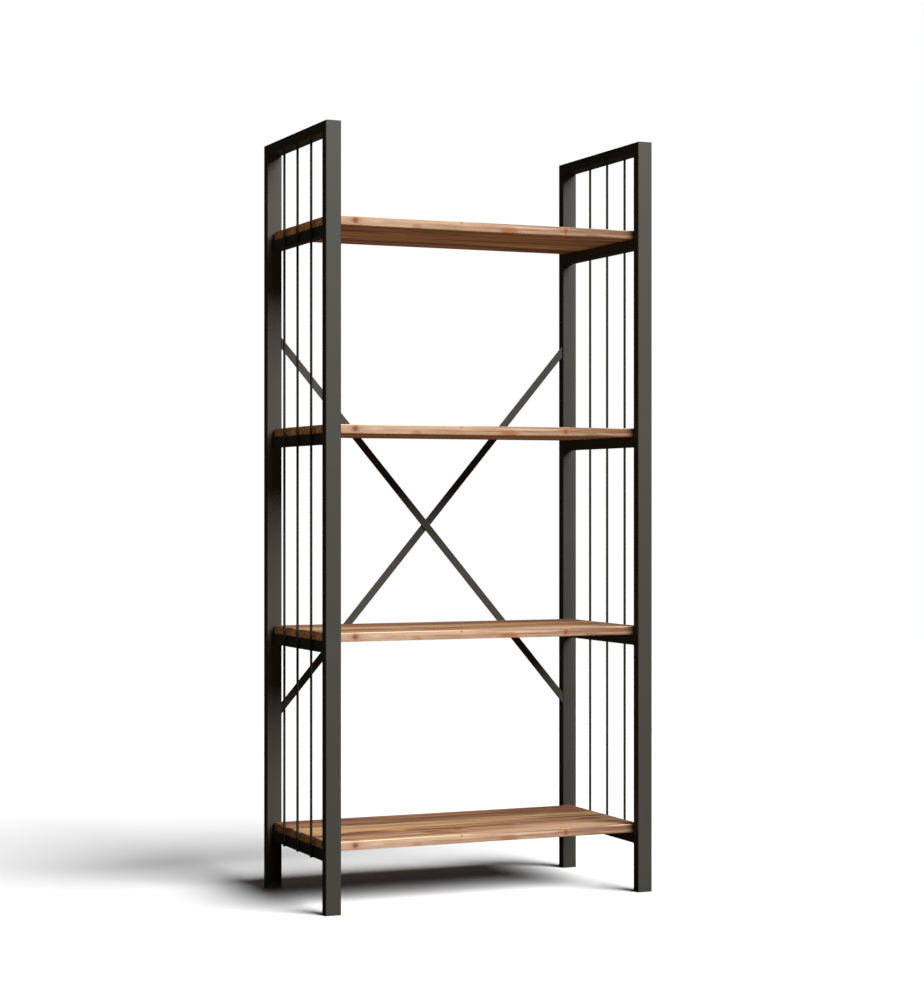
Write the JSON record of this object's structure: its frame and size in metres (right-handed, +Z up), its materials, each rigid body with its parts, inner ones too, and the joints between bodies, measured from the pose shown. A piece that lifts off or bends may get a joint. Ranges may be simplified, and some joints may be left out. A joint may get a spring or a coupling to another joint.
{
  "type": "bookcase",
  "caption": "Tall open bookcase: welded steel side frames with slim upright rods, solid-wood shelf boards that lift off their rails, and a crossed flat-bar brace at the back.",
  "frame": {"origin": "on the floor, under the middle of the bookcase in width and depth", "axes": "+Z up, +X to the right of someone who faces the bookcase, front towards -Y"},
  "size_m": [0.848, 0.44, 1.83],
  "materials": {
    "powder_coat": "satin dark grey powder coat, fine texture",
    "shelf_wood": "oiled solid wood, glued from staves, lengthwise grain with small knots",
    "zinc_steel": "zinc plated",
    "foot_plastic": "moulded black plastic"
  },
  "bodies": {
    "frame": {"left_front_upright": "powder_coat", "left_rear_upright": "powder_coat", "left_top_rail": "powder_coat", "left_shelf_rail_1": "powder_coat", "left_shelf_rail_2": "powder_coat", "left_shelf_rail_3": "powder_coat", "left_shelf_rail_4": "powder_coat", "left_rod_1": "powder_coat", "left_rod_2": "powder_coat", "left_rod_3": "powder_coat", "right_front_upright": "powder_coat", "right_rear_upright": "powder_coat", "right_top_rail": "powder_coat", "right_shelf_rail_1": "powder_coat", "right_shelf_rail_2": "powder_coat", "right_shelf_rail_3": "powder_coat", "right_shelf_rail_4": "powder_coat", "right_rod_1": "powder_coat", "right_rod_2": "powder_coat", "right_rod_3": "powder_coat", "brace_bar_front": "powder_coat", "brace_bar_rear": "powder_coat", "brace_rivet": "powder_coat", "left_front_foot_plug": "foot_plastic", "left_rear_foot_plug": "foot_plastic", "right_front_foot_plug": "foot_plastic", "right_rear_foot_plug": "foot_plastic", "shelf_1_stud_left_front": "zinc_steel", "shelf_1_stud_left_rear": "zinc_steel", "shelf_1_stud_right_front": "zinc_steel", "shelf_1_stud_right_rear": "zinc_steel", "shelf_2_stud_left_front": "zinc_steel", "shelf_2_stud_left_rear": "zinc_steel", "shelf_2_stud_right_front": "zinc_steel", "shelf_2_stud_right_rear": "zinc_steel", "shelf_3_stud_left_front": "zinc_steel", "shelf_3_stud_left_rear": "zinc_steel", "shelf_3_stud_right_front": "zinc_steel", "shelf_3_stud_right_rear": "zinc_steel", "shelf_4_stud_left_front": "zinc_steel", "shelf_4_stud_left_rear": "zinc_steel", "shelf_4_stud_right_front": "zinc_steel", "shelf_4_stud_right_rear": "zinc_steel"},
    "top_shelf": {"shelf_board_1": "shelf_wood"},
    "upper_shelf": {"shelf_board_2": "shelf_wood"},
    "lower_shelf": {"shelf_board_3": "shelf_wood"},
    "bottom_shelf": {"shelf_board_4": "shelf_wood"}
  },
  "joints": [
    {"name": "top_shelf_lift", "type": "slide", "parent": "frame", "child": "top_shelf", "axis": [0, 0, 1], "range_m": [0, 0.188]},
    {"name": "upper_shelf_lift", "type": "slide", "parent": "frame", "child": "upper_shelf", "axis": [0, 0, 1], "range_m": [0, 0.436]},
    {"name": "lower_shelf_lift", "type": "slide", "parent": "frame", "child": "lower_shelf", "axis": [0, 0, 1], "range_m": [0, 0.436]},
    {"name": "bottom_shelf_lift", "type": "slide", "parent": "frame", "child": "bottom_shelf", "axis": [0, 0, 1], "range_m": [0, 0.436]}
  ]
}
